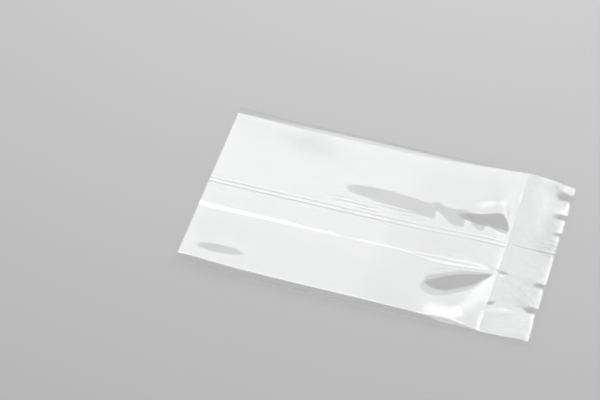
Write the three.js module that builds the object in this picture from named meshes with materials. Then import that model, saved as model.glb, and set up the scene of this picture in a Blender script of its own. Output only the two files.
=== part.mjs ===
// A clear film bag lying on a table.
// One sheet of film is wrapped into a flat tube. Its long edges lap down the upper face,
// one end is crimped shut in a wide band and the other end stays open as a low mouth.
// X runs from the mouth to the sealed end, Y from the near side to the far side, Z is up.
// Lengths are millimetres.
import * as THREE from "three";

const FILM = 0.04;

// Places along the bag
const MOUTH_X = -61.2;
const SEAL_X = 44.8;
const END_X = 61.2;

// Side folds: distance from the middle line at the mouth, along the body and at the seal
const FAR_MOUTH = 35.3;
const FAR_BODY = 34.6;
const FAR_SEAL = 36.1;
const NEAR_MOUTH = 34.9;
const NEAR_BODY = 36.1;
const NEAR_SEAL = 34.9;
const FLARE = 22;

// Rounding of the side folds: tight in the upper film, wide where the under film leaves the table
const ROLL_NEAR = 1.0;
const ROLL_FAR = 0.8;
const ROLL_UNDER = 4.6;

// Height of the open tube, its shoulder before the seal, and how far its sides lie lower
const BODY_HEIGHT = 4.8;
const SHOULDER = 43;
const NEAR_DROP = 0.5;
const NEAR_SLOPE = 20;
const FAR_DROP = 0.5;
const FAR_SLOPE = 30;
const FAR_RISE = 1.0;
const FAR_REACH = 17;

// Mouth: the upper edge stands back, the near corner is pinched and has a hollow beside it
const MOUTH_SETBACK = 1.0;
const PINCH = 0.6;
const PINCH_REACH = 15;
const HOLLOW = { x: -50, y: -28.6, size: 0.46, long: 18, wide: 7 };

// Heights of the seal line and of the cut end, which curls down
const SEAL_MID = 1.9;
const SEAL_TILT = 0.7;
const END_MID = 1.25;
const END_TILT = -0.85;
const END_CURL = 1.7;
const END_DROOP = 0.26;

// Crimped band: a tuck across it and dents along its cut end
const TUCK = 0.16;
const TUCK_Y = -25.2;
const DENTS = [
  { x: 59.6, y: 30.2, reach: 2.5, rise: 0.42 },
  { x: 60.2, y: 21.3, reach: 2.0, rise: 0.34 },
  { x: 59.8, y: -10.5, reach: 1.6, rise: 0.24 },
  { x: 59.6, y: -22.2, reach: 2.3, rise: 0.38 },
];

// Back seam: width of the lap, place of its outer free edge, and the step down past its inner edge
const LAP = 12;
const LAP_BODY = 0.4;
const LAP_SEAL = 3.6;
const LAP_SETTLE = 3;
const LAP_STEP = 0.03;
const LAP_DROP = 0.23;
const LAP_DROP_SEAL = 0.15;

// Buckles beside the seal: a long one by the lap, notched by fingers, and a leaf-shaped one
const BUCKLE = 0.85;
const BUCKLE_SHARE = 0.5;
const FINGERS = [
  { x: 21.8, reach: 5.0 },
  { x: 31.8, reach: 4.5 },
  { x: 38.9, reach: 4.0 },
];
const SHARED_FALL = 0.058;
const LEAF_X = 45.3;
const LEAF_Y = -9.5;
const LEAF_SLANT = (32 * Math.PI) / 180;
const LEAF_REACH = 33;
const LEAF_WIDTH = 11.6;
const LEAF_FALL = 0.182;
const WEDGE = 0.08;
const CORNER_RIDGE = 0.2;
const SHOULDER_ROLL = 0.12;

// Spacing of the surface grid
const ROLL_STEPS = 4;
const NEAR_STEPS = [3, 6, 2];
const LAP_STEPS = [2, 3];
const FAR_STEPS = [8, 4];
const BODY_STEPS = [9, 5, 19];
const BODY_MARKS = [MOUTH_X, -2, 16, SEAL_X];
const BAND_STEPS = [5, 2];

const { clamp, lerp, smoothstep } = THREE.MathUtils;

function bell(v, centre, width) {
  return Math.exp(-Math.pow((v - centre) / width, 2));
}

// A ridge and a valley side by side: the film falls through the centre
function fall(v, centre, width) {
  const t = (v - centre) / width;
  return (-2.6 * t) / Math.pow(1 + t * t, 1.5);
}

// How far the tube stands open at x: 1 along the body, 0 from the seal line on
function openness(x) {
  const s = clamp((SEAL_X - x) / SHOULDER, 0, 1);
  return 1 - Math.pow(1 - s, 1.4);
}

function farFold(x) {
  const body = lerp(FAR_SEAL, FAR_BODY, openness(x));
  return lerp(FAR_MOUTH, body, smoothstep(x, MOUTH_X, MOUTH_X + FLARE));
}

function nearFold(x) {
  const body = lerp(NEAR_SEAL, NEAR_BODY, openness(x));
  return -lerp(NEAR_MOUTH, body, smoothstep(x, MOUTH_X, MOUTH_X + FLARE));
}

// Outer free edge of the lap. The inner one lies LAP nearer.
function lapEdge(x) {
  return lerp(LAP_SEAL, LAP_BODY, openness(x));
}

// Height of the upper film of the open tube
function crownHeight(x, y) {
  const inner = lapEdge(x) - LAP;
  const near = nearFold(x);
  const narrow = smoothstep(x, -10, 15);
  const half = 0.5 * lerp(2.8, 1.5, narrow);
  const step = lerp(LAP_DROP, LAP_DROP_SEAL, narrow) * (1 - smoothstep(y, inner - half, inner + half));
  const nearDrop = NEAR_DROP * (1 - smoothstep(y, near, near + NEAR_SLOPE));
  const farDrop = FAR_DROP * clamp((y - farFold(x)) / FAR_SLOPE + 1, 0, 1);
  const atMouth = 1 - smoothstep(x, MOUTH_X, MOUTH_X + FLARE);
  const pinch = PINCH * atMouth * (1 - smoothstep(y, near, near + PINCH_REACH));
  return BODY_HEIGHT - step - nearDrop - farDrop - pinch;
}

// Height of the under film of the open tube: on the table, rising to the far side fold
function floorHeight(x, y) {
  const far = farFold(x);
  return FAR_RISE * smoothstep(y, far - FAR_REACH, far);
}

// Height of the closed films at the seal line and out along the crimped band
function bandHeight(x, y) {
  const t = smoothstep(x, SEAL_X, END_X);
  const past = x - SEAL_X;
  const curl = clamp((x - END_X) / END_CURL + 1, 0, 1);
  const tilt = lerp(SEAL_TILT, END_TILT, t);
  let z = lerp(SEAL_MID, END_MID, t) + (tilt * y) / FAR_SEAL - END_DROOP * curl * curl;
  const foot = TUCK_Y + 0.05 * past;
  const tuck = TUCK * smoothstep(y, foot, foot + 1.6) * (1 - smoothstep(y, -23, -17));
  z += tuck * smoothstep(x, SEAL_X, SEAL_X + 1.5);
  for (const dent of DENTS) {
    z += dent.rise * bell(x, dent.x, dent.reach) * fall(y, dent.y, dent.reach);
  }
  return Math.max(z, FILM);
}

// Long buckle between the lap and the far panel, notched by small fingers
function farWave(x, y) {
  let notch = 0;
  for (const finger of FINGERS) {
    notch += finger.reach * bell(x + 0.55 * (y - 5), finger.x, 1.6);
  }
  const along = smoothstep(x, -5, 18);
  const centre = lerp(9.6, 8.2, along) + 1.8 * bell(x, 39, 4);
  const wave = fall(y - notch * bell(y, 7.5, 5), centre, lerp(5.2, 7.4, along));
  return wave - 0.4 * bell(y, centre, 14);
}

// Leaf-shaped buckle that runs from the seal down to the near panel
function leafWave(x, y) {
  const dx = LEAF_X - x;
  const dy = LEAF_Y - y;
  const along = dx * Math.cos(LEAF_SLANT) + dy * Math.sin(LEAF_SLANT);
  const off = dx * Math.sin(LEAF_SLANT) - dy * Math.cos(LEAF_SLANT);
  const width = lerp(1.4, LEAF_WIDTH, smoothstep(along, -1.5, 12));
  const ramp = 2.5 + 0.9 * Math.abs(off) + 1.8 * Math.max(off, 0);
  const start = smoothstep(SEAL_X - x, 0, ramp);
  const end = 1 - smoothstep(along, 0.62 * LEAF_REACH, LEAF_REACH);
  const wave = fall(off, 0, width) + 0.1 * bell(off, 0, 15);
  return ((LEAF_FALL * width) / 2.6) * wave * start * end;
}

// Buckles that both films take beside the seal
function sharedBuckles(x, y) {
  const d = SEAL_X - x;
  const centre = 12 + 1.2 * bell(x, 38.7, 3.5) - 4.2 * smoothstep(x, 40.5, 45.5);
  const width = 4.4 + 5 * bell(x, 39.5, 5);
  const wave = SHARED_FALL * width * (fall(y, centre, width) - 0.5 * bell(y, centre, 14));
  const start = smoothstep(d, 0, 2.5 + 0.6 * Math.abs(y - centre));
  return wave * start * (1 - smoothstep(d, 10, 25)) + leafWave(x, y);
}

// Buckles of the upper film alone
function upperBuckles(x, y) {
  const d = SEAL_X - x;
  const inner = lapEdge(x) - LAP;
  const size = Math.min(BUCKLE_SHARE * BODY_HEIGHT * openness(x), BUCKLE);
  const fade = lerp(0.9, 0.32, smoothstep(d, 10, 36)) * (1 - smoothstep(d, 46, 66));
  const wedgeEnds = smoothstep(x, 4, 16) * (1 - smoothstep(x, 40, 44.5));
  const wedge = WEDGE * bell(y, inner - 1.6, 1.6) * wedgeEnds;
  const hollow = HOLLOW.size * fall(y, HOLLOW.y, HOLLOW.wide) * bell(x, HOLLOW.x, HOLLOW.long);
  const ridge = CORNER_RIDGE * bell(y, 24.5 - 0.35 * d, 3.2) * (1 - smoothstep(d, 4, 20));
  const roll = SHOULDER_ROLL * (1 - 0.6 * bell(y, -2, 12)) * smoothstep(d, 0, 1.6);
  const shut = smoothstep(openness(x), 0, 0.06);
  return size * fade * farWave(x, y) - wedge + (hollow + ridge) * shut + roll * (1 - smoothstep(d, 5, 28));
}

// Extra height that the lap gives the upper face (outside) and the under face (inside)
function lapRise(x, y, inside) {
  const inner = lapEdge(x) - LAP;
  const settled = FILM * smoothstep(y, inner - LAP_SETTLE, inner - LAP_STEP);
  if (inside) {
    return y < inner ? settled * Math.min(1, 20 * openness(x)) : 0;
  }
  return y > lapEdge(x) ? 0 : settled;
}

// Places after the first mark, with the given number of steps from each mark to the next
function run(marks, steps) {
  const places = [];
  steps.forEach((count, k) => {
    for (let i = 1; i <= count; i += 1) {
      places.push(lerp(marks[k], marks[k + 1], i / count));
    }
  });
  return places;
}

// How far round a side fold the film is: 0 on the crease, 1 where it lies flat
function turn(inset, roll) {
  const t = 1 - clamp(inset / roll, 0, 1);
  return Math.sqrt(1 - t * t);
}

// Stops across the bag at x, and how far round the side folds both films are at each one
function stopsAcross(x, skin) {
  const near = nearFold(x);
  const far = farFold(x);
  const outer = lapEdge(x);
  const inner = outer - LAP;
  const places = [];
  for (let i = 0; i <= ROLL_STEPS; i += 1) {
    const part = 1 - Math.cos((i / ROLL_STEPS) * 0.5 * Math.PI);
    places.push(near + skin + (ROLL_NEAR - skin) * part);
  }
  places.push(...run([near + ROLL_NEAR, near + ROLL_UNDER, inner - 2.8, inner - LAP_STEP], NEAR_STEPS));
  places.push(inner + LAP_STEP);
  places.push(...run([inner + LAP_STEP, inner + 2.2, outer - LAP_STEP], LAP_STEPS));
  places.push(outer + LAP_STEP);
  places.push(...run([outer + LAP_STEP, outer + 16, far - ROLL_FAR], FAR_STEPS));
  for (let i = ROLL_STEPS - 1; i >= 0; i -= 1) {
    const part = 1 - Math.cos((i / ROLL_STEPS) * 0.5 * Math.PI);
    places.push(far - skin - (ROLL_FAR - skin) * part);
  }
  return places.map((y) => {
    const atFar = turn(far - skin - y, ROLL_FAR - skin);
    const upper = atFar * turn(y - near - skin, ROLL_NEAR - skin);
    const under = atFar * turn(y - near - skin, ROLL_UNDER - skin);
    return { y, upper, under };
  });
}

// One closed ring of points round the tube: along the underside, then back over the upper face.
// The outside ring has skin 0, the inside ring lies one film further in.
function ringAt(x, skin) {
  const open = openness(x);
  const inside = skin > 0;
  const stops = stopsAcross(x, skin);
  const lean = MOUTH_SETBACK * (1 - smoothstep(x, MOUTH_X, MOUTH_X + 12));
  const point = (stop, isUpper) => {
    const y = stop.y;
    const band = bandHeight(x, y);
    const crown = crownHeight(x, y);
    const shared = sharedBuckles(x, y);
    const fold = lerp(band, 0.5 * crown, open);
    let flat = Math.max(lerp(band - FILM, floorHeight(x, y), open) + shared, 0) + skin;
    let rise = stop.under;
    if (isUpper) {
      flat = lerp(band + FILM, crown, open) + shared - skin;
      flat += open > 0 ? upperBuckles(x, y) : 0;
      flat += lapRise(x, y, inside);
      rise = stop.upper;
    }
    const z = lerp(fold, flat, rise);
    return new THREE.Vector3(x + (lean * z) / BODY_HEIGHT, y, z);
  };
  const last = stops.length - 1;
  const lower = stops.map((stop) => point(stop, false));
  const back = stops.slice(1, last).map((stop) => point(stop, true));
  return [...lower, ...back.reverse()];
}

// Closed skin of the film: outside, inside, the cut edge of the mouth and the cut sealed end
function filmGeometry() {
  const body = [MOUTH_X, ...run(BODY_MARKS, BODY_STEPS)];
  const band = run([SEAL_X, END_X - END_CURL, END_X], BAND_STEPS);
  const positions = [];
  const index = [];
  const add = (p) => positions.push(p.x, p.y, p.z) / 3 - 1;
  const outside = [...body, ...band].map((x) => ringAt(x, 0).map(add));
  const size = outside[0].length;
  const folds = size / 2;

  // At the seal line the inside closes to one line, so its two faces share their points
  const inside = body.slice(0, -1).map((x) => ringAt(x, FILM).map(add));
  const closed = ringAt(SEAL_X, FILM).slice(0, folds + 1).map(add);
  inside.push([...closed, ...closed.slice(1, folds).reverse()]);

  const triangle = (a, b, c) => index.push(a, b, c);
  const quad = (a, b, c, d) => {
    triangle(a, b, c);
    triangle(a, c, d);
  };
  for (let i = 0; i + 1 < outside.length; i += 1) {
    for (let j = 0; j < size; j += 1) {
      const k = (j + 1) % size;
      quad(outside[i][j], outside[i][k], outside[i + 1][k], outside[i + 1][j]);
    }
  }
  for (let i = 0; i + 1 < inside.length; i += 1) {
    for (let j = 0; j < size; j += 1) {
      const k = (j + 1) % size;
      triangle(inside[i][j], inside[i + 1][k], inside[i][k]);
      triangle(inside[i][j], inside[i + 1][j], inside[i + 1][k]);
    }
  }
  for (let j = 0; j < size; j += 1) {
    const k = (j + 1) % size;
    quad(outside[0][j], inside[0][j], inside[0][k], outside[0][k]);
  }
  const end = outside[outside.length - 1];
  const upper = (k) => end[(size - k) % size];
  triangle(end[0], end[1], upper(1));
  for (let k = 1; k < folds - 1; k += 1) {
    quad(end[k], end[k + 1], upper(k + 1), upper(k));
  }
  triangle(end[folds - 1], end[folds], upper(folds - 1));

  const geometry = new THREE.BufferGeometry();
  geometry.setAttribute("position", new THREE.Float32BufferAttribute(positions, 3));
  geometry.setIndex(index);
  geometry.computeVertexNormals();
  return geometry;
}

const film = new THREE.MeshStandardMaterial({
  color: 0xf4f6f6,
  roughness: 0.08,
  metalness: 0,
  transparent: true,
  opacity: 0.3,
});

const bag = new THREE.Group();
const skin = new THREE.Mesh(filmGeometry(), film);
skin.name = "bag_film";
bag.add(skin);

export default bag;
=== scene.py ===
import math

import bpy
import numpy as np
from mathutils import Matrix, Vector


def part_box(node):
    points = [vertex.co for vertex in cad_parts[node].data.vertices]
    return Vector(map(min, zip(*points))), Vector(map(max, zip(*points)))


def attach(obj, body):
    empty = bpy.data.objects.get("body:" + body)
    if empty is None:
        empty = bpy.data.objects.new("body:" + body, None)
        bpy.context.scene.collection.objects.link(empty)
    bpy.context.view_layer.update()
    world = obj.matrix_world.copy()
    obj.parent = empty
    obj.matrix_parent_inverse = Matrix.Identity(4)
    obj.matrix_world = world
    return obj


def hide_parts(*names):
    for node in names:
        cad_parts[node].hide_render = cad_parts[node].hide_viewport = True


bl_info = {
    "name": "Clear Film Bag",
    "version": (1, 0, 0),
    "blender": (4, 5, 0),
    "location": "3D View > Sidebar > Film Bag",
    "description": "Builds a clear film bag with a lapped seam and a crimped end, and its studio",
    "category": "Add Mesh",
}

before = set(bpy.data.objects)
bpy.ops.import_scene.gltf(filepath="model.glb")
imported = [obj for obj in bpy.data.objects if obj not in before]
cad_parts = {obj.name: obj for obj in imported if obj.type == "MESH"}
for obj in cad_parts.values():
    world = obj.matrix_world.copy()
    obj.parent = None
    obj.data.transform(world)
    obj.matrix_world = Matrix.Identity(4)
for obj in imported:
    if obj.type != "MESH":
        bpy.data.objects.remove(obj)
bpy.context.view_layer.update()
NODE = "bag_film"

# Millimetres in a metre, and radians in a full turn
MM = 1000.0
TURN = 2 * math.pi
# Slope of the fall curve at its centre, which makes its ridge and valley 1 high
FALL_SLOPE = 2.6
# Edges sharper than this are not smoothed
SHARP_ANGLE = math.radians(50)

# Cross pattern and hatch of the crimp in radians a metre, and the slant of the hatch
WEAVE_RATE, HATCH_RATE, HATCH_LEAN = 5200.0, 2900.0, 0.8
# Factor and offset that set the contrast of the haze, for its patches and for its hatch
PATCH_LEVEL, HATCH_LEVEL = (1.5, -0.2), (0.15, 0.85)
# Half width of the edge of the crimp, and width of the edge of its haze at the lip
SEAL_SOFT, LIP_SOFT = 0.0003, 0.0006
# Stretch of the film's fine lines along x, y and z
SLACK_STRETCH = (90.0, 620.0, 90.0)
# Roughness of the clear film, and what the crimp and the cloud add to it
ROUGH_CLEAR, ROUGH_CRIMP, ROUGH_CLOUD = 0.03, 0.03, 0.03
# Lamp light that one face passes head on, what a glancing angle takes from it, and how late
PASS_STRAIGHT, PASS_GLANCING, GLANCING_POWER = 0.983, -0.3, 4.0
# Sockets of a colour mix: factor, first colour, second colour and result
MIX_FACTOR, MIX_FIRST, MIX_SECOND, MIX_RESULT = 0, 6, 7, 2

# Half width of the table, and its height, just below the bag
TABLE_HALF, TABLE_Z = 4.0, -0.0003
# Place and size of the softbox, and its levels across its depth and its width
SOFTBOX_AT, SOFTBOX_SIZE = (-0.05, 0.26, 0.50), (0.66, 0.56)
DEPTH_LEVELS = (
    (0.0, 1.0), (0.31, 0.96), (0.41, 2.2), (0.51, 0.94), (0.75, 1.0), (0.895, 1.0), (1.0, 0.0))
WIDTH_LEVELS = ((0.0, 1.0), (0.45, 1.0), (0.53, 0.85), (0.72, 0.88), (0.94, 1.8), (1.0, 1.8))
# Width of the camera's sensor in millimetres, and where its view starts
SENSOR_WIDTH, CLIP_START = 36.0, 0.01
# Enough for a ray through both films of the tube and of the lap
CLEAR_BOUNCES = 24


class FilmBagSettings(bpy.types.PropertyGroup):
    """Sizes and colours of the film bag."""

    film: bpy.props.FloatProperty(
        name="Film thickness", description="Thickness of one film",
        default=0.00004, min=0.00001, max=0.001, precision=5, unit="LENGTH")
    height: bpy.props.FloatProperty(
        name="Body height", description="Height of the open tube",
        default=0.0048, min=0.001, max=0.05, precision=4, unit="LENGTH")
    seal: bpy.props.FloatProperty(
        name="End seal", description="Width of the crimped band",
        default=0.0164, min=0.005, max=0.04, precision=4, unit="LENGTH")
    shoulder: bpy.props.FloatProperty(
        name="Shoulder", description="Length over which the tube closes towards the seal",
        default=0.043, min=0.01, max=0.09, precision=4, unit="LENGTH")
    lap: bpy.props.FloatProperty(
        name="Lap", description="Width of the overlap of the back seam",
        default=0.012, min=0.004, max=0.03, precision=4, unit="LENGTH")
    buckle: bpy.props.FloatProperty(
        name="Buckle height", description="Height of the buckles beside the seal",
        default=0.00085, min=0.0, max=0.003, precision=5, unit="LENGTH")
    lip: bpy.props.FloatProperty(
        name="End lip", description="Unsealed strip past the crimped band",
        default=0.0013, min=0.0002, max=0.004, precision=4, unit="LENGTH")
    tint: bpy.props.FloatVectorProperty(
        name="Film tint", description="Colour of the clear film",
        default=(0.993, 0.996, 0.996), min=0.0, max=1.0, size=3, subtype="COLOR")
    haze: bpy.props.FloatVectorProperty(
        name="Crimp haze", description="Colour of the film where the crimp hazes it most",
        default=(0.94, 0.945, 0.945), min=0.0, max=1.0, size=3, subtype="COLOR")


class FilmBagStageSettings(bpy.types.PropertyGroup):
    """Place of the camera, and colours and light of the stage."""

    azimuth: bpy.props.FloatProperty(
        name="Azimuth", description="Camera angle round the bag",
        default=math.radians(17.07), subtype="ANGLE")
    elevation: bpy.props.FloatProperty(
        name="Elevation", description="Camera angle above the table",
        default=math.radians(49.5), subtype="ANGLE")
    distance: bpy.props.FloatProperty(
        name="Distance", description="Camera distance from the point it looks at",
        default=0.8614, unit="LENGTH")
    target: bpy.props.FloatVectorProperty(
        name="Target", description="Point that the camera looks at",
        default=(-0.0286, 0.00315, 0.0), size=3, subtype="TRANSLATION")
    lens: bpy.props.FloatProperty(
        name="Lens", description="Focal length in millimetres",
        default=150.0, min=10.0, unit="CAMERA")
    table: bpy.props.FloatVectorProperty(
        name="Table", description="Colour of the table",
        default=(0.522, 0.522, 0.522), min=0.0, max=1.0, size=3, subtype="COLOR")
    surround: bpy.props.FloatVectorProperty(
        name="Surround", description="Colour of the light from all round",
        default=(0.42, 0.42, 0.42), min=0.0, max=1.0, size=3, subtype="COLOR")
    power: bpy.props.FloatProperty(
        name="Softbox", description="Power of the softbox",
        default=2.64, min=0.0, unit="POWER")


def smooth(v, low, high):
    """Smooth step from 0 at low to 1 at high."""
    t = np.clip((v - low) / (high - low), 0.0, 1.0)
    return t * t * (3.0 - 2.0 * t)


def plateau(v, rise, back):
    """1 between two ranges: it rises over the first and goes back to 0 over the second."""
    return smooth(v, *rise) * (1 - smooth(v, *back))


def mix(a, b, t):
    """Straight blend from a to b."""
    return a + (b - a) * t


def bell(v, centre, width):
    """Bell curve that is 1 at its centre."""
    return np.exp(-(((v - centre) / width) ** 2))


def fall(v, centre, width):
    """A ridge and a valley side by side: the film falls through the centre."""
    t = (v - centre) / width
    return -FALL_SLOPE * t / (1 + t * t) ** 1.5


def wave(v, height, length, phase=0.0):
    """Sine wave along v, with a full turn in 2 pi lengths."""
    return height * np.sin(v / length + phase)


class FilmShape:
    """Edges and heights of the film in millimetres, as functions of x and y."""

    # Half widths at the mouth, along the body and at the seal, and the length of the mouth's flare
    far_mouth, far_body, far_seal = 35.3, 34.6, 36.1
    near_mouth, near_body, near_seal = 34.9, 36.1, 34.9
    flare = 22.0
    # Outer edge of the lap along the body and at the seal, and the width of its sealed part
    lap_body, lap_seal, seam = 0.4, 3.6, 11.5
    # Power of the curve that closes the tube, and how far the mouth's upper edge is set back
    close_power = 1.4
    setback, setback_reach = 1.0, 12.0
    # Radii of the side folds: near and far on top, near underneath
    roll_near, roll_far, roll_under = 1.0, 0.8, 4.6

    # Falls of the crown to the side folds and to the mouth's near corner, with their reach
    near_drop, near_slope = 0.5, 20.0
    far_drop, far_slope = 0.5, 30.0
    pinch, pinch_reach = 0.6, 15.0
    # Step of the crown at the lap's inner edge, before and after a change along x
    step_height, step_width, step_change = (0.23, 0.15), (2.8, 1.5), (-10.0, 15.0)
    # Width over which the film rises to the lap's inner edge
    settle = 3.0
    # Rise of the under film to the far side fold
    far_rise, far_reach = 1.0, 17.0

    # Height and twist of the crimped band at the seal and at its cut end, and that end's droop
    seal_mid, seal_tilt = 1.9, 0.7
    end_mid, end_tilt = 1.25, -0.85
    end_curl, end_droop = 1.7, 0.26
    # Air between the films of the band, from the fused line on and in the lip
    fused = 0.15
    crimp_air, crimp_start = 0.02, 1.0
    lip_air, lip_least = 0.16, 0.03
    lip_waves = ((0.1, 3.1, 1.0), (0.08, 1.7))
    # Relief of the band: where it starts, where it ends at the sides, and its waves
    relief_start, side_y, side_width = 1.5, 35.0, 2.0
    slow_wave, quick_wave, quick_lean = (0.08, 4.1, 0.6), (0.03, 2.3, 2.0), 0.23
    grain, grain_bends = (0.004, 1.7 / TURN), ((1.3, 2.5), (1.0, 3.0))
    hatch, hatch_lean, hatch_bend = (0.02, 1.9 / TURN), 0.8, (1.0, 2.1)
    hatch_y, hatch_width = -16.0, 6.0
    # Lines of the lap in the band: their drift, the outer line and the inner edge
    line_drift, line_depth, line_width = 0.06, 0.04, 0.3
    edge_height, edge_rise, edge_back = 0.05, (-0.4, 0.4), (1.0, 8.0)
    # Tuck across the band
    tuck_height, tuck_lean, tuck_rise, tuck_back = 0.16, 0.05, (-25.2, -23.6), (-23.0, -17.0)
    # Dents of the band: x, y, reach and rise of each
    dents = (
        (59.6, 30.2, 2.5, 0.42), (60.2, 21.3, 2.0, 0.34), (60.2, 13.2, 1.1, 0.16),
        (59.8, -10.5, 1.6, 0.24), (59.6, -22.2, 2.3, 0.38), (46.6, -8.8, 1.3, 0.15),
        (45.2, -22.7, 1.5, 0.2))

    # Far buckle: its centre, width and size before and after they change, its bend and its sag
    far_centre, far_width, far_change = (9.6, 8.2), (5.2, 7.4), (-5.0, 18.0)
    far_size, far_size_change, far_end = (0.9, 0.32), (10.0, 36.0), (46.0, 66.0)
    far_bend, far_bend_x, far_bend_width = 1.8, 39.0, 4.0
    far_sag, far_sag_width = 0.4, 14.0
    # Fingers of the far buckle: x and reach of each, and the slant, width and place of all
    fingers = ((21.8, 5.0), (31.8, 4.5), (38.9, 4.0))
    finger_lean, finger_root, finger_width = 0.55, 5.0, 1.6
    finger_y, finger_spread = 7.5, 5.0
    # Leaf-shaped buckle: its tip, slant and length, how steep and wide it is, and its two ends
    leaf_tip, leaf_slant, leaf_reach = (45.3, -9.5), math.radians(32.0), 33.0
    leaf_fall, leaf_width, leaf_opens = 0.182, (1.4, 11.6), (-1.5, 12.0)
    leaf_lift, leaf_lift_width = 0.1, 15.0
    leaf_start, leaf_start_both, leaf_start_near, leaf_fade = 2.5, 0.9, 1.8, 0.62
    # Far buckle of both films: how steep it is, its sag, its centre, its width and its two ends
    shared_fall, shared_sag, shared_sag_width = 0.058, 0.5, 14.0
    shared_y, shared_bend, shared_bend_x, shared_bend_width = 12.0, 1.2, 38.7, 3.5
    shared_shift, shared_change = 4.2, (40.5, 45.5)
    shared_width, shared_swell, shared_swell_x, shared_swell_width = 4.4, 5.0, 39.5, 5.0
    shared_start, shared_start_side, shared_end = 2.5, 0.6, (10.0, 25.0)
    # Shallow wedge beside the lap's inner edge
    wedge_depth, wedge_width, wedge_rise, wedge_back = 0.08, 1.6, (4.0, 16.0), (40.0, 44.5)

    # Grooves along the end of the lap's seam and along its outer edge
    groove_depth, groove_width, seam_groove, edge_groove = 0.09, 0.38, -1.0, 0.2
    # Broken streaks past the lap's outer edge: their breaks, their slant and where they lie
    streak, streak_lean, streak_start = (0.08, 1.6 / TURN), 0.015, 0.4
    break_length, break_lean = 3.7, 1.3
    streak_y, streak_width, streak_x, streak_length = 2.9, 2.0, -4.0, 15.0
    # Uneven inner edge of the lap
    uneven_height, uneven_rise, uneven_back = 0.02, (-1.2, 1.2), (1.2, 6.0)
    uneven_waves = ((0.5, 2.9, 0.4), (0.5, 1.3, 1.0), (1.0, 7.0))
    # Slack of the panels: its height, and its lengths along x and y in two crossing waves
    slack_height, slack_first, slack_second = 0.11, (9.0, 13.0), (21.0, 7.0)
    # Hollow of the near panel by the mouth
    hollow_depth, hollow_y, hollow_width, hollow_x, hollow_length = 0.46, -28.6, 7.0, -50.0, 18.0
    # Ridge beside the far side fold by the mouth
    fold_ridge, fold_inset, fold_width, fold_x, fold_length = 0.08, 3.2, 0.8, -56.0, 16.0
    # Ridges from the seal's corners: height, y, slant, width and end of each, and where all fade
    corner_ridges = ((0.2, 24.5, -0.35, 3.2, 20.0), (0.07, -30.5, 0.25, 3.0, 22.0))
    corner_fade = 4.0
    # Brow of the film before the seal, lower in the middle
    brow_height, brow_rise, brow_back = 0.12, (0.0, 1.6), (5.0, 28.0)
    brow_low, brow_y, brow_width = 0.6, -2.0, 12.0
    # Openness by which the fine relief and the free flap have their full height
    relief_open, flap_open = 0.06, 0.1
    # Air below the free flap, its ripple, and the share of the flap over which it lifts
    flap_air, flap_ripple, flap_second, flap_lift = 0.02, (0.4, 3.3), (1.0, 7.1, 1.0), 0.6

    def __init__(self, settings, low, high):
        self.film = settings.film * MM
        self.height = settings.height * MM
        self.shoulder = settings.shoulder * MM
        self.lap = settings.lap * MM
        self.buckle = settings.buckle * MM
        self.lip = settings.lip * MM
        self.mouth_x = low[0] * MM
        self.end_x = high[0] * MM
        self.seal_x = self.end_x - settings.seal * MM

    def openness(self, x):
        """How far the tube is open: 0 at the seal, 1 past the shoulder."""
        s = np.clip((self.seal_x - x) / self.shoulder, 0.0, 1.0)
        return 1.0 - (1.0 - s) ** self.close_power

    def mouth_fade(self, x):
        """1 at the mouth, 0 past its flare."""
        return 1 - smooth(x, self.mouth_x, self.mouth_x + self.flare)

    def half_width(self, x, mouth, body, seal):
        """Distance of a side fold from the middle line."""
        return mix(mix(seal, body, self.openness(x)), mouth, self.mouth_fade(x))

    def far_fold(self, x):
        """y of the far side fold."""
        return self.half_width(x, self.far_mouth, self.far_body, self.far_seal)

    def near_fold(self, x):
        """y of the near side fold."""
        return -self.half_width(x, self.near_mouth, self.near_body, self.near_seal)

    def lap_lines(self, x):
        """y of the lap's inner edge, of the end of its seam and of its outer edge."""
        outer = mix(self.lap_seal, self.lap_body, self.openness(x))
        inner = outer - self.lap
        return inner, inner + self.seam, outer

    def crown(self, x, y):
        """Height of the open tube, lower past the lap and lowest at the mouth's near corner."""
        inner, _, _ = self.lap_lines(x)
        near, far = self.near_fold(x), self.far_fold(x)
        change = smooth(x, *self.step_change)
        half = 0.5 * mix(*self.step_width, change)
        step = mix(*self.step_height, change) * (1 - smooth(y, inner - half, inner + half))
        drop = self.near_drop * (1 - smooth(y, near, near + self.near_slope))
        drop = drop + self.far_drop * np.clip((y - far) / self.far_slope + 1, 0.0, 1.0)
        corner = self.mouth_fade(x) * (1 - smooth(y, near, near + self.pinch_reach))
        return self.height - step - drop - self.pinch * corner

    def floor(self, x, y):
        """Height of the under film of the open tube: on the table, rising to the far side fold."""
        far = self.far_fold(x)
        return self.far_rise * smooth(y, far - self.far_reach, far)

    def band(self, x, y):
        """Middle height of the crimped band, kept clear of the table."""
        t = smooth(x, self.seal_x, self.end_x)
        tilt = mix(self.seal_tilt, self.end_tilt, t)
        curl = np.clip((x - self.end_x) / self.end_curl + 1, 0.0, 1.0)
        plain = mix(self.seal_mid, self.end_mid, t) + tilt * y / self.far_seal
        plain = plain - self.end_droop * curl * curl
        return np.maximum(plain + self.band_relief(x, y), self.film)

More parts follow.
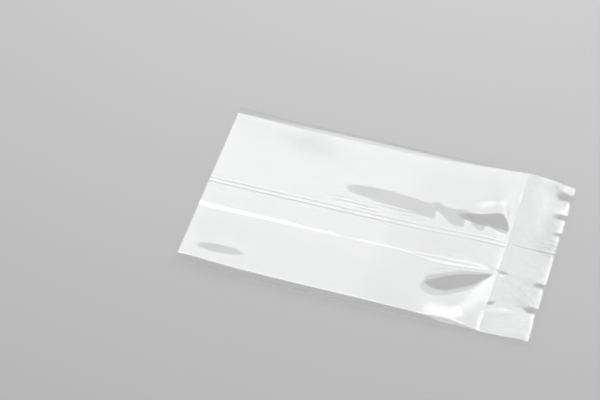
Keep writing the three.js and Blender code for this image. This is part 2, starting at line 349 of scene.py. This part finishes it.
    def band_relief(self, x, y):
        """Relief of the crimped band: waves, creases, a tuck and dents."""
        past = x - self.seal_x
        outer = self.lap_seal + self.line_drift * past
        inner = outer - self.lap
        slow = wave(y, *self.slow_wave) + wave(y + self.quick_lean * x, *self.quick_wave)
        along, across = self.grain_bends
        fine = wave(y, *self.grain, wave(x, *along) + wave(y, *across))
        slant = wave(y + self.hatch_lean * x, *self.hatch, wave(x, *self.hatch_bend))
        fine = fine + slant * bell(y, self.hatch_y, self.hatch_width)
        front = smooth(y - self.tuck_lean * past, *self.tuck_rise)
        fine = fine + self.tuck_height * front * (1 - smooth(y, *self.tuck_back))
        fine = fine - self.line_depth * bell(y, outer, self.line_width)
        fine = fine + self.edge_height * plateau(y - inner, self.edge_rise, self.edge_back)
        z = slow * smooth(x, self.seal_x, self.end_x) + fine * smooth(past, 0.0, self.relief_start)
        z = z * (1 - bell(np.abs(y), self.side_y, self.side_width))
        for dent_x, dent_y, reach, rise in self.dents:
            z = z + rise * bell(x, dent_x, reach) * fall(y, dent_y, reach)
        return z

    def band_gap(self, x, y):
        """Air between the films past the fused line: thin in the crimp, wider at the cut end."""
        start = self.seal_x + self.fused
        lip = np.clip((x - self.end_x + self.lip) / self.lip, 0.0, 1.0)
        air = self.lip_air + sum(wave(y, *part) for part in self.lip_waves)
        crimp = self.crimp_air * smooth(x, start, start + self.crimp_start)
        return crimp + np.maximum(air, self.lip_least) * lip

    def far_wave(self, x, y):
        """Buckle between the lap and the far panel, notched by small fingers."""
        slanted = x + self.finger_lean * (y - self.finger_root)
        notch = sum(reach * bell(slanted, at, self.finger_width) for at, reach in self.fingers)
        shifted = y - notch * bell(y, self.finger_y, self.finger_spread)
        change = smooth(x, *self.far_change)
        centre = mix(*self.far_centre, change)
        centre = centre + self.far_bend * bell(x, self.far_bend_x, self.far_bend_width)
        sag = self.far_sag * bell(y, centre, self.far_sag_width)
        return fall(shifted, centre, mix(*self.far_width, change)) - sag

    def leaf_wave(self, x, y):
        """Leaf-shaped buckle that runs from the seal down to the near panel."""
        across, down = math.cos(self.leaf_slant), math.sin(self.leaf_slant)
        dx, dy = self.leaf_tip[0] - x, self.leaf_tip[1] - y
        along = dx * across + dy * down
        off = dx * down - dy * across
        width = mix(*self.leaf_width, smooth(along, *self.leaf_opens))
        start = self.leaf_start + self.leaf_start_both * np.abs(off)
        start = start + self.leaf_start_near * np.maximum(off, 0.0)
        ends = smooth(self.seal_x - x, 0.0, start)
        ends = ends * (1 - smooth(along, self.leaf_fade * self.leaf_reach, self.leaf_reach))
        form = fall(off, 0.0, width) + self.leaf_lift * bell(off, 0.0, self.leaf_lift_width)
        return self.leaf_fall * width / FALL_SLOPE * form * ends

    def shared_buckles(self, x, y):
        """Buckles that both films take beside the seal."""
        d = self.seal_x - x
        bend = self.shared_bend * bell(x, self.shared_bend_x, self.shared_bend_width)
        centre = self.shared_y + bend - self.shared_shift * smooth(x, *self.shared_change)
        swell = self.shared_swell * bell(x, self.shared_swell_x, self.shared_swell_width)
        width = self.shared_width + swell
        sag = self.shared_sag * bell(y, centre, self.shared_sag_width)
        start = self.shared_start + self.shared_start_side * np.abs(y - centre)
        ends = plateau(d, (0.0, start), self.shared_end)
        far = self.shared_fall * width * (fall(y, centre, width) - sag) * ends
        return far + self.leaf_wave(x, y)

    def buckles(self, x, y):
        """Buckles of the upper film alone."""
        d = self.seal_x - x
        size = np.minimum(0.5 * self.height * self.openness(x), self.buckle)
        size = size * mix(*self.far_size, smooth(d, *self.far_size_change))
        far = size * (1 - smooth(d, *self.far_end)) * self.far_wave(x, y)
        inner, _, _ = self.lap_lines(x)
        wedge = self.wedge_depth * bell(y, inner - self.wedge_width, self.wedge_width)
        return far - wedge * plateau(x, self.wedge_rise, self.wedge_back)

    def lap_relief(self, x, y):
        """Fine lines along the lap: grooves, broken streaks and an uneven inner edge."""
        inner, root, outer = self.lap_lines(x)
        groove = bell(y, root + self.seam_groove, self.groove_width)
        groove = groove + bell(y, outer + self.edge_groove, self.groove_width)
        broken = 0.5 + 0.5 * np.sin(x / self.break_length + self.break_lean * y)
        streaks = wave(y - outer - self.streak_start + self.streak_lean * x, *self.streak)
        streaks = streaks * broken * bell(y, outer + self.streak_y, self.streak_width)
        streaks = streaks * bell(x, self.streak_x, self.streak_length)
        first, second, swell = (wave(x, *part) for part in self.uneven_waves)
        uneven = (first + second * swell) * plateau(y - inner, self.uneven_rise, self.uneven_back)
        return streaks + self.uneven_height * uneven - self.groove_depth * groove

    def panel_relief(self, x, y):
        """Slack, hollow and ridges of the panels."""
        d = self.seal_x - x
        (first_x, first_y), (second_x, second_y) = self.slack_first, self.slack_second
        slack = np.sin(x / first_x + y / first_y) * np.cos(y / second_y - x / second_x)
        z = self.slack_height * slack
        hollow = fall(y, self.hollow_y, self.hollow_width)
        z = z + self.hollow_depth * hollow * bell(x, self.hollow_x, self.hollow_length)
        ridge = bell(y, self.far_fold(x) - self.fold_inset, self.fold_width)
        z = z + self.fold_ridge * ridge * bell(x, self.fold_x, self.fold_length)
        for height, ridge_y, lean, width, end in self.corner_ridges:
            fade = 1 - smooth(d, self.corner_fade, end)
            z = z + height * bell(y, ridge_y + lean * d, width) * fade
        return z

    def relief(self, x, y):
        """Fine relief of the upper film, and its brow before the seal."""
        fine = self.lap_relief(x, y) + self.panel_relief(x, y)
        fine = fine * smooth(self.openness(x), 0.0, self.relief_open)
        level = 1 - self.brow_low * bell(y, self.brow_y, self.brow_width)
        ends = plateau(self.seal_x - x, self.brow_rise, self.brow_back)
        return fine + self.brow_height * level * ends

    def flap_gap(self, x, y):
        """Air between the free flap of the lap and the film under it."""
        _, root, outer = self.lap_lines(x)
        t = np.clip((y - root) / (outer - root), 0.0, 1.0)
        ripple = 1 + wave(x, *self.flap_ripple) * wave(x, *self.flap_second)
        air = self.flap_air * smooth(self.openness(x), 0.0, self.flap_open)
        return air * ripple * smooth(t, 0.0, self.flap_lift)


class FilmGrid:
    """Closed mesh of the film: outside, inside, the free flap of the lap and the cut edges."""

    # Steps across: round each side fold, and over the near panel, the seam, the flap and the far
    # panel, with the distances from the lap's edges and the seam's end at which they change
    roll_steps = 7
    near_steps, near_fine = (6, 18, 12), 2.8
    seam_steps, seam_fine, root_fine = (8, 6, 14), 2.2, 2.0
    flap_steps = 12
    far_steps, far_fine = (6, 26, 16, 14), (1.0, 7.0, 16.0)
    # Steps along the body and the band, with the places at which the body's steps change
    body_steps, mouth_fine, shoulder_x = (4, 26, 84), 3.0, -16.0
    fused_steps, band_steps = (4,), (28, 4)
    # Half width of the step at each edge of the lap
    edge = 0.008
    # Factor by which the film under the lap lifts off as the tube opens
    lift_rate = 20

    def __init__(self, shape):
        self.s = shape
        self.points = []
        self.faces = []
        inner_edge = self.roll_steps + sum(self.near_steps)
        self.root = inner_edge + 1 + sum(self.seam_steps)
        self.tip = self.root + self.flap_steps
        self.count = self.tip + 2 + sum(self.far_steps) + self.roll_steps

    @staticmethod
    def run(places, steps):
        """Places after the first, with the given number of steps from each one to the next."""
        parts = [np.linspace(a, b, n + 1)[1:] for a, b, n in zip(places, places[1:], steps)]
        return np.concatenate(parts)

    @staticmethod
    def rounding(inset, roll):
        """How far round a side fold the film is: 0 on the crease, 1 where it lies flat."""
        t = 1 - np.clip(inset / roll, 0.0, 1.0)
        return np.sqrt(1 - t * t)

    def stops(self, x, skin):
        """Places across the bag at x, and how far round the side folds each film is there."""
        s = self.s
        near, far = s.near_fold(x), s.far_fold(x)
        inner, root, outer = s.lap_lines(x)
        turn = 1 - np.cos(np.linspace(0, TURN / 4, self.roll_steps + 1))
        inset_near = skin + (s.roll_near - skin) * turn
        inset_far = skin + (s.roll_far - skin) * turn
        near_places = (near + s.roll_near, near + s.roll_under, inner - self.near_fine,
                       inner - self.edge)
        seam_places = (inner + self.edge, inner + self.seam_fine, root - self.root_fine, root)
        far_places = (outer + self.edge, *(outer + reach for reach in self.far_fine),
                      far - s.roll_far)
        y = np.concatenate([
            near + inset_near,
            self.run(near_places, self.near_steps),
            seam_places[:1],
            self.run(seam_places, self.seam_steps),
            self.run((root, outer - self.edge), (self.flap_steps,)),
            far_places[:1],
            self.run(far_places, self.far_steps),
            (far - inset_far[:-1])[::-1],
        ])
        from_near = y - near - skin
        at_far = self.rounding(far - skin - y, s.roll_far - skin)
        upper = self.rounding(from_near, s.roll_near - skin) * at_far
        under = self.rounding(from_near, s.roll_under - skin) * at_far
        return y, upper, under

    def heights(self, x, y):
        """Outer heights of the single upper film, the under film and the side folds."""
        s = self.s
        open_ = s.openness(x)
        band = s.band(x, y)
        crown = s.crown(x, y)
        fold = mix(band, 0.5 * crown, open_)
        shared = s.shared_buckles(x, y)
        upper = mix(band + s.film, crown, open_) + s.band_gap(x, y) + shared
        upper = upper + (s.buckles(x, y) + s.relief(x, y)) * (open_ > 0)
        lower = np.maximum(mix(band - s.film, s.floor(x, y), open_) + shared, 0.0)
        return upper, lower, fold

    def lap_lift(self, x, y):
        """Rise of the upper film, by one thickness, as it comes to the lap's inner edge."""
        inner, _, _ = self.s.lap_lines(x)
        return self.s.film * smooth(y, inner - self.s.settle, inner - self.edge)

    def place(self, x, y, z):
        """Adds a row of points and gives their numbers."""
        s = self.s
        lean = s.setback * (1 - smooth(x, s.mouth_x, s.mouth_x + s.setback_reach))
        first = len(self.points)
        for py, pz in zip(y, z):
            self.points.append((x + lean * pz / s.height, py, pz))
        return list(range(first, len(self.points)))

    def ring(self, x, y, low, top=None):
        """Adds the under and the upper film at x, which share the points on the side folds.

        Without an upper film the ring is shut.
        """
        low = self.place(x, y, low)
        if top is None:
            return {"low": low, "top": low}
        top = self.place(x, y[1:-1], top[1:-1])
        return {"low": low, "top": [low[0], *top, low[-1]]}

    def outside(self, x):
        """Outer ring at x, with the film under the free flap and the flap's own underside."""
        s = self.s
        y, rise, rise_under = self.stops(x, 0.0)
        upper, lower, fold = self.heights(x, y)
        gap = s.flap_gap(x, y)
        pocket = slice(self.root, self.tip + 1)
        flap = slice(self.root + 1, self.tip + 1)
        top = upper.copy()
        top[:self.tip + 1] += self.lap_lift(x, y)[:self.tip + 1]
        top[pocket] += gap[pocket]
        ring = self.ring(x, y, mix(fold, lower, rise_under), mix(fold, top, rise))
        ring["pocket"] = self.place(x, y[pocket], upper[pocket])
        ring["under"] = [ring["pocket"][0], *self.place(x, y[flap], upper[flap] + gap[flap])]
        return ring

    def inside(self, x, closed):
        """Inner ring of the tube at x."""
        s = self.s
        y, rise, rise_under = self.stops(x, s.film)
        upper, lower, fold = self.heights(x, y)
        low = mix(fold, lower + s.film, rise_under)
        if closed:
            return self.ring(x, y, low)
        inner, _, _ = s.lap_lines(x)
        lift = np.where(y < inner, self.lap_lift(x, y), 0.0)
        lift = lift * min(1.0, self.lift_rate * float(s.openness(x)))
        return self.ring(x, y, low, mix(fold, upper - s.film + lift, rise))

    def crimp(self, x, closed):
        """Inner ring of the crimped band at x, from the fused line to the cut end."""
        s = self.s
        y, rise, _ = self.stops(x, s.film)
        band = s.band(x, y)
        if closed:
            return self.ring(x, y, band)
        return self.ring(x, y, band, band + s.band_gap(x, y) * rise)

    def outer_loop(self, ring, at_lap):
        """Points round the outside, with those at the lap's outer edge between the panels."""
        far = ring["top"][-2:self.tip:-1]
        near = ring["top"][self.tip:0:-1]
        return ring["low"] + far + at_lap + near

    def flap_loop(self, ring):
        """Points round the outside of the tube, in under the free flap and out again."""
        return self.outer_loop(ring, ring["pocket"][::-1] + ring["under"][1:])

    def foot_loop(self, ring):
        """Points round the outside of the band, where the lap lies flat on the film under it."""
        return self.outer_loop(ring, ring["pocket"][-1:])

    @staticmethod
    def inner_loop(ring):
        """Points round the inside."""
        return ring["low"] + ring["top"][-2:0:-1]

    def skin(self, loops, flip):
        """Joins each loop to the next with quads."""
        for a, b in zip(loops, loops[1:]):
            for j in range(len(a)):
                k = (j + 1) % len(a)
                quad = (a[j], a[k], b[k], b[j])
                self.faces.append(quad[::-1] if flip else quad)

    def build(self):
        """Points in millimetres and faces of the whole film."""
        s = self.s
        body_places = (s.mouth_x, s.mouth_x + self.mouth_fine, self.shoulder_x, s.seal_x)
        body_x = [s.mouth_x, *self.run(body_places, self.body_steps)]
        fused_x = s.seal_x + s.fused
        solid_x = self.run((s.seal_x, fused_x), self.fused_steps)
        crimp_x = self.run((fused_x, s.end_x - s.lip, s.end_x), self.band_steps)
        body = [self.outside(x) for x in body_x]
        seal = body[-1]
        seal["under"] = seal["pocket"]
        self.skin([self.flap_loop(ring) for ring in body], False)
        tail = [self.outside(x) for x in [*solid_x, *crimp_x]]
        self.skin([self.foot_loop(ring) for ring in [seal, *tail]], False)
        hollow = [self.inside(x, x == body_x[-1]) for x in body_x]
        self.skin([self.inner_loop(ring) for ring in hollow], True)
        crimps = [self.crimp(x, x == fused_x) for x in [fused_x, *crimp_x]]
        self.skin([self.inner_loop(ring) for ring in crimps], True)
        self.mouth_edge(body[0], hollow[0])
        self.end_edge(tail[-1], crimps[-1])
        return self.points, self.faces

    def mouth_edge(self, out, into):
        """Cut edge of the film round the mouth and along the end of the free flap."""
        add = self.faces.append
        lo, li = out["low"], into["low"]
        to, ti = out["top"], into["top"]
        pocket, under = out["pocket"], out["under"]
        r, t = self.root, self.tip
        for k in range(self.count - 1):
            add((lo[k], li[k], li[k + 1], lo[k + 1]))
            if k < r - 1 or k > t:
                add((ti[k], to[k], to[k + 1], ti[k + 1]))
            elif k == r - 1:
                add((ti[k], to[k], to[k + 1], pocket[0], ti[k + 1]))
            elif k < t:
                add((ti[k], pocket[k - r], pocket[k + 1 - r], ti[k + 1]))
                add((under[k - r], to[k], to[k + 1], under[k + 1 - r]))
            else:
                add((ti[k], pocket[-1], to[k + 1], ti[k + 1]))

    def end_edge(self, out, into):
        """Cut edges of both films at the end of the band."""
        add = self.faces.append
        lo, li = out["low"], into["low"]
        to, ti = out["top"], into["top"]
        foot = out["pocket"][-1]
        t = self.tip
        for k in range(self.count - 1):
            add((lo[k], lo[k + 1], li[k + 1], li[k]))
            if k == t - 1:
                add((ti[k], ti[k + 1], foot, to[k + 1], to[k]))
            elif k == t:
                add((ti[k], ti[k + 1], to[k + 1], foot))
            else:
                add((ti[k], ti[k + 1], to[k + 1], to[k]))


def feed(tree, socket, value):
    """Links a socket to an output, or sets it to a plain value."""
    if isinstance(value, bpy.types.NodeSocket):
        tree.links.new(value, socket)
    else:
        socket.default_value = value


def add_node(tree, kind, inputs):
    """New node with the given inputs, by name or number."""
    node = tree.nodes.new(kind)
    for key, value in inputs.items():
        feed(tree, node.inputs[key], value)
    return node


def math_node(tree, operation, *values, clamp=False):
    """Output of a new math node."""
    node = tree.nodes.new("ShaderNodeMath")
    node.operation = operation
    node.use_clamp = clamp
    for socket, value in zip(node.inputs, values):
        feed(tree, socket, value)
    return node.outputs[0]


def smooth_node(tree, value, low, high):
    """Output of a new smooth step from 0 at low to 1 at high."""
    node = add_node(tree, "ShaderNodeMapRange",
                    {"Value": value, "From Min": low, "From Max": high})
    node.interpolation_type = "SMOOTHSTEP"
    return node.outputs[0]


def new_group(name, outputs):
    """New node group from a position to some values, with its position and its output node."""
    group = bpy.data.node_groups.new(name, "ShaderNodeTree")
    group.interface.new_socket("Position", in_out="INPUT", socket_type="NodeSocketVector")
    for label in outputs:
        group.interface.new_socket(label, in_out="OUTPUT", socket_type="NodeSocketFloat")
    place = group.nodes.new("NodeGroupInput").outputs["Position"]
    return group, place, group.nodes.new("NodeGroupOutput")


def crimp_group(seal_x, end_x, lip):
    """Mask, cross pattern and patchy haze of the crimped band."""
    group, place, out = new_group("Crimped Band", ("Mask", "Height", "Haze"))
    split = add_node(group, "ShaderNodeSeparateXYZ", {"Vector": place})
    x, y = split.outputs["X"], split.outputs["Y"]
    mask = smooth_node(group, x, seal_x - SEAL_SOFT, seal_x + SEAL_SOFT)
    feed(group, out.inputs["Mask"], mask)

    cross = []
    for operation in ("ADD", "SUBTRACT"):
        diagonal = math_node(group, operation, x, y)
        cross.append(math_node(group, "SINE", math_node(group, "MULTIPLY", diagonal, WEAVE_RATE)))
    weave = math_node(group, "MULTIPLY", *cross)
    feed(group, out.inputs["Height"], math_node(group, "MULTIPLY", weave, mask))

    slant = math_node(group, "MULTIPLY_ADD", x, HATCH_LEAN, y)
    hatch = math_node(group, "SINE", math_node(group, "MULTIPLY", slant, HATCH_RATE))
    spread = add_node(group, "ShaderNodeTexNoise", {"Vector": place, "Scale": 520.0, "Detail": 2.0})
    patchy = math_node(group, "MULTIPLY_ADD", spread.outputs[0], *PATCH_LEVEL, clamp=True)
    hazy = math_node(group, "MULTIPLY", patchy,
                     math_node(group, "MULTIPLY_ADD", hatch, *HATCH_LEVEL))
    before_lip = smooth_node(group, x, end_x - lip, end_x - lip - LIP_SOFT)
    hazed = math_node(group, "MULTIPLY", mask, before_lip)
    feed(group, out.inputs["Haze"], math_node(group, "MULTIPLY", hazy, hazed))
    return group


def slack_group():
    """Fine drawing lines along the film, and a cloud over it."""
    group, place, out = new_group("Film Slack", ("Height", "Cloud"))
    stretch = add_node(group, "ShaderNodeMapping", {"Vector": place, "Scale": SLACK_STRETCH})
    lines = add_node(group, "ShaderNodeTexNoise",
                     {"Vector": stretch.outputs[0], "Scale": 1.0, "Detail": 3.0})
    cloud = add_node(group, "ShaderNodeTexNoise", {"Vector": place, "Scale": 120.0, "Detail": 4.0})
    feed(group, out.inputs["Height"], lines.outputs[0])
    feed(group, out.inputs["Cloud"], cloud.outputs[0])
    return group


def film_material(shape, settings):
    """Clear glossy film, hazed where it is crimped, that lets lamp light through to the table."""
    material = bpy.data.materials.new("clear_film")
    material.use_nodes = True
    tree = material.node_tree
    tree.nodes.clear()
    place = tree.nodes.new("ShaderNodeTexCoord").outputs["Object"]
    crimp = tree.nodes.new("ShaderNodeGroup")
    crimp.node_tree = crimp_group(shape.seal_x / MM, shape.end_x / MM, settings.lip)
    slack = tree.nodes.new("ShaderNodeGroup")
    slack.node_tree = slack_group()
    for group in (crimp, slack):
        feed(tree, group.inputs["Position"], place)

    lines = add_node(tree, "ShaderNodeBump", {
        "Strength": 0.25, "Distance": 0.00002, "Height": slack.outputs["Height"]})
    bump = add_node(tree, "ShaderNodeBump", {
        "Strength": 0.2, "Distance": 0.00003, "Height": crimp.outputs["Height"],
        "Normal": lines.outputs[0]})
    rough = math_node(tree, "MULTIPLY_ADD", crimp.outputs["Mask"], ROUGH_CRIMP, ROUGH_CLEAR)
    rough = math_node(tree, "MULTIPLY_ADD", slack.outputs["Cloud"], ROUGH_CLOUD, rough)
    colour = tree.nodes.new("ShaderNodeMix")
    colour.data_type = "RGBA"
    feed(tree, colour.inputs[MIX_FACTOR], crimp.outputs["Haze"])
    feed(tree, colour.inputs[MIX_FIRST], (*settings.tint, 1))
    feed(tree, colour.inputs[MIX_SECOND], (*settings.haze, 1))
    film = add_node(tree, "ShaderNodeBsdfPrincipled", {
        "Base Color": colour.outputs[MIX_RESULT], "IOR": 1.52, "Transmission Weight": 1.0,
        "Roughness": rough, "Normal": bump.outputs[0]})

    facing = add_node(tree, "ShaderNodeLayerWeight", {"Blend": 0.5})
    glancing = math_node(tree, "POWER", facing.outputs["Facing"], GLANCING_POWER)
    passed = math_node(tree, "MULTIPLY_ADD", glancing, PASS_GLANCING, PASS_STRAIGHT)
    clear = add_node(tree, "ShaderNodeBsdfTransparent", {"Color": passed})
    path = tree.nodes.new("ShaderNodeLightPath")
    shader = film
    for ray in ("Is Diffuse Ray", "Is Shadow Ray"):
        shader = add_node(tree, "ShaderNodeMixShader", {
            0: path.outputs[ray], 1: shader.outputs[0], 2: clear.outputs[0]})
    add_node(tree, "ShaderNodeOutputMaterial", {"Surface": shader.outputs[0]})
    return material


def table_material(colour):
    """Matt paper of the table."""
    material = bpy.data.materials.new("table_paper")
    material.use_nodes = True
    paper = material.node_tree.nodes["Principled BSDF"]
    paper.inputs["Base Color"].default_value = (*colour, 1)
    paper.inputs["Roughness"].default_value = 0.9
    paper.inputs["Specular IOR Level"].default_value = 0.1
    return material


class OBJECT_OT_film_bag(bpy.types.Operator):
    """Builds the bag as one closed film with its lap, seal and mouth"""

    bl_idname = "object.film_bag"
    bl_label = "Film Bag"
    bl_options = {"REGISTER", "UNDO"}

    def execute(self, context):
        settings = context.scene.film_bag
        low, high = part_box(NODE)
        shape = FilmShape(settings, low, high)
        points, faces = FilmGrid(shape).build()
        mesh = bpy.data.meshes.new("clear_bag")
        mesh.from_pydata([tuple(c / MM for c in p) for p in points], [], faces)
        mesh.validate()
        mesh.polygons.foreach_set("use_smooth", [True] * len(mesh.polygons))
        mesh.set_sharp_from_angle(angle=SHARP_ANGLE)
        mesh.materials.append(film_material(shape, settings))
        bag = bpy.data.objects.new("clear_bag", mesh)
        context.scene.collection.objects.link(bag)
        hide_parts(NODE)
        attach(bag, "root")
        return {"FINISHED"}


def add_table(scene, colour):
    """Flat table just below the bag."""
    mesh = bpy.data.meshes.new("table")
    corners = ((-1, -1), (1, -1), (1, 1), (-1, 1))
    mesh.from_pydata([(x * TABLE_HALF, y * TABLE_HALF, TABLE_Z) for x, y in corners],
                     [], [(0, 1, 2, 3)])
    mesh.materials.append(table_material(colour))
    table = bpy.data.objects.new("table", mesh)
    scene.collection.objects.link(table)


def level_ramp(tree, value, stops):
    """Level that changes softly along a value."""
    ramp = tree.nodes.new("ShaderNodeValToRGB")
    ramp.color_ramp.interpolation = "EASE"
    elements = ramp.color_ramp.elements
    elements[0].position, elements[1].position = stops[0][0], stops[-1][0]
    for place, _ in stops[1:-1]:
        elements.new(place)
    for element, (_, level) in zip(elements, stops):
        element.color = (level, level, level, 1)
    tree.links.new(value, ramp.inputs[0])
    return ramp.outputs[0]


def add_softbox(scene, power):
    """Softbox over and behind the bag, with a bright bar across it and a brighter right side."""
    light = bpy.data.lights.new("softbox", "AREA")
    light.shape = "RECTANGLE"
    light.size, light.size_y = SOFTBOX_SIZE
    light.energy = power
    light.use_nodes = True
    tree = light.node_tree
    across = tree.nodes.new("ShaderNodeNewGeometry").outputs["Parametric"]
    split = add_node(tree, "ShaderNodeSeparateXYZ", {"Vector": across})
    depth = level_ramp(tree, split.outputs["Y"], DEPTH_LEVELS)
    width = level_ramp(tree, split.outputs["X"], WIDTH_LEVELS)
    level = math_node(tree, "MULTIPLY", depth, width)
    feed(tree, tree.nodes["Emission"].inputs["Strength"], level)
    lamp = bpy.data.objects.new("softbox", light)
    lamp.location = SOFTBOX_AT
    scene.collection.objects.link(lamp)


def add_surround(scene, colour):
    """Even light from all round."""
    world = bpy.data.worlds.new("studio")
    world.use_nodes = True
    background = world.node_tree.nodes["Background"]
    background.inputs["Color"].default_value = (*colour, 1)
    background.inputs["Strength"].default_value = 1.0
    scene.world = world


def add_camera(scene, stage):
    """Camera that looks at the target from its angle and distance."""
    camera = bpy.data.cameras.new("camera")
    camera.lens = stage.lens
    camera.sensor_width = SENSOR_WIDTH
    camera.clip_start = CLIP_START
    view = bpy.data.objects.new("camera", camera)
    back = Vector((math.sin(stage.azimuth) * math.cos(stage.elevation),
                   -math.cos(stage.azimuth) * math.cos(stage.elevation),
                   math.sin(stage.elevation)))
    view.location = Vector(stage.target) + back * stage.distance
    view.rotation_euler = back.to_track_quat("Z", "Y").to_euler()
    scene.collection.objects.link(view)
    scene.camera = view


class OBJECT_OT_film_bag_stage(bpy.types.Operator):
    """Sets up the table, the softbox, the surround and the camera"""

    bl_idname = "object.film_bag_stage"
    bl_label = "Film Bag Stage"
    bl_options = {"REGISTER", "UNDO"}

    def execute(self, context):
        scene = context.scene
        stage = scene.film_bag_stage
        add_table(scene, stage.table)
        add_softbox(scene, stage.power)
        add_surround(scene, stage.surround)
        add_camera(scene, stage)
        scene.view_settings.view_transform = "Standard"
        scene.cycles.transparent_max_bounces = CLEAR_BOUNCES
        return {"FINISHED"}


class VIEW3D_PT_film_bag(bpy.types.Panel):
    """Settings of the bag and its stage"""

    bl_idname = "VIEW3D_PT_film_bag"
    bl_label = "Film Bag"
    bl_space_type = "VIEW_3D"
    bl_region_type = "UI"
    bl_category = "Film Bag"

    def draw(self, context):
        layout = self.layout
        for group in (context.scene.film_bag, context.scene.film_bag_stage):
            column = layout.column()
            for name in group.bl_rna.properties.keys():
                if name not in {"rna_type", "name"}:
                    column.prop(group, name)
        layout.operator("object.film_bag")
        layout.operator("object.film_bag_stage")


CLASSES = (
    FilmBagSettings,
    FilmBagStageSettings,
    OBJECT_OT_film_bag,
    OBJECT_OT_film_bag_stage,
    VIEW3D_PT_film_bag,
)


def register():
    for cls in CLASSES:
        bpy.utils.register_class(cls)
    bpy.types.Scene.film_bag = bpy.props.PointerProperty(type=FilmBagSettings)
    bpy.types.Scene.film_bag_stage = bpy.props.PointerProperty(type=FilmBagStageSettings)


def unregister():
    del bpy.types.Scene.film_bag_stage
    del bpy.types.Scene.film_bag
    for cls in reversed(CLASSES):
        bpy.utils.unregister_class(cls)


def main():
    register()
    bpy.ops.object.film_bag()
    bpy.ops.object.film_bag_stage()


if __name__ == "__main__":
    main()
